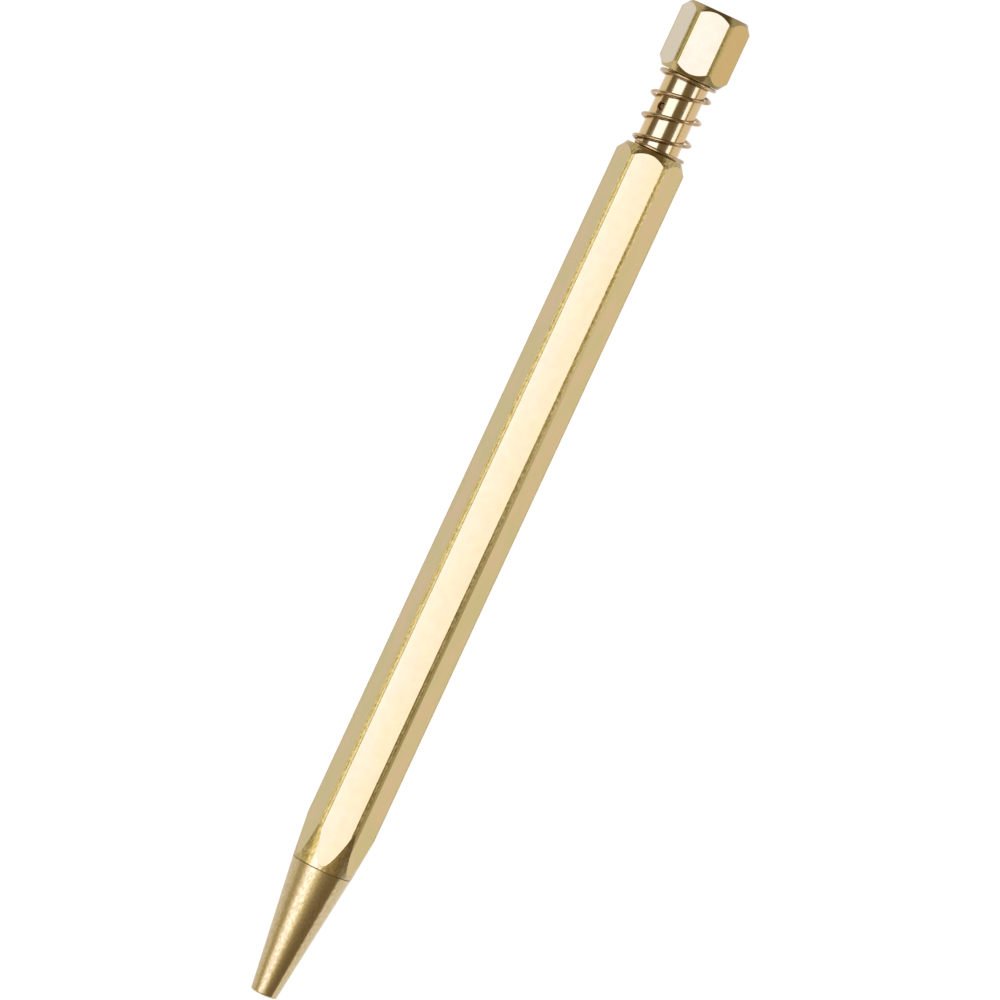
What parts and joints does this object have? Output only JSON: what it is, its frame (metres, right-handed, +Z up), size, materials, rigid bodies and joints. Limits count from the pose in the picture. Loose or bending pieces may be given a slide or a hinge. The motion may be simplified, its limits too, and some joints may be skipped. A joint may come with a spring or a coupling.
{
  "type": "ballpoint pen",
  "caption": "Hexagonal brass ballpoint pen with a push knob on an open spring, a turned nose cone and a ratchet that moves the refill.",
  "frame": {"origin": "on the surface that the pen lies on, under the middle of its length", "axes": "+X along the pen from the writing tip towards the push knob, +Z up from the flat that it lies on"},
  "size_m": [0.145, 0.0098, 0.0088],
  "materials": {
    "brushed_brass": "lengthwise brushed, with worn edges",
    "turned_brass": "satin, with fine turning marks",
    "polished_brass": "polished",
    "spring_wire": "polished wire with a copper tint",
    "plain_steel": "bright drawn",
    "refill_steel": "smooth satin",
    "nickel_silver": "turned and polished",
    "hard_ball": "mirror polished",
    "acetal": "moulded, slightly waxy",
    "ink": "dark paste"
  },
  "bodies": {
    "barrel": {"barrel": "brushed_brass", "cam_sleeve": "acetal", "plunger_spring": "spring_wire"},
    "plunger": {"push_knob": "brushed_brass", "plunger_tube": "polished_brass", "cross_pin": "plain_steel", "knock_cam": "acetal"},
    "rotor": {"rotor_cam": "acetal"},
    "refill": {"refill_tube": "refill_steel", "refill_neck": "nickel_silver", "refill_point": "nickel_silver", "refill_ball": "hard_ball", "refill_plug": "acetal", "ink_column": "ink"},
    "nose": {"nose_cone": "turned_brass", "refill_spring": "plain_steel"}
  },
  "joints": [
    {"name": "knob_press", "type": "slide", "parent": "barrel", "child": "plunger", "axis": [-1, 0, 0], "range_m": [0, 0.0055], "stiffness_N_per_m": 400, "springref_m": -0.002, "deforming": ["plunger_spring"]},
    {"name": "rotor_slide", "type": "slide", "parent": "barrel", "child": "rotor", "axis": [-1, 0, 0], "range_m": [0, 0.0055]},
    {"name": "refill_slide", "type": "slide", "parent": "barrel", "child": "refill", "axis": [-1, 0, 0], "range_m": [0, 0.0055], "deforming": ["refill_spring"]},
    {"name": "nose_unscrew", "type": "slide", "parent": "barrel", "child": "nose", "axis": [-1, 0, 0], "range_m": [0, 0.026]}
  ],
  "couplings": [
    {"joint": "rotor_slide", "follows": "knob_press", "ratio": 1},
    {"joint": "refill_slide", "follows": "knob_press", "ratio": 1}
  ]
}
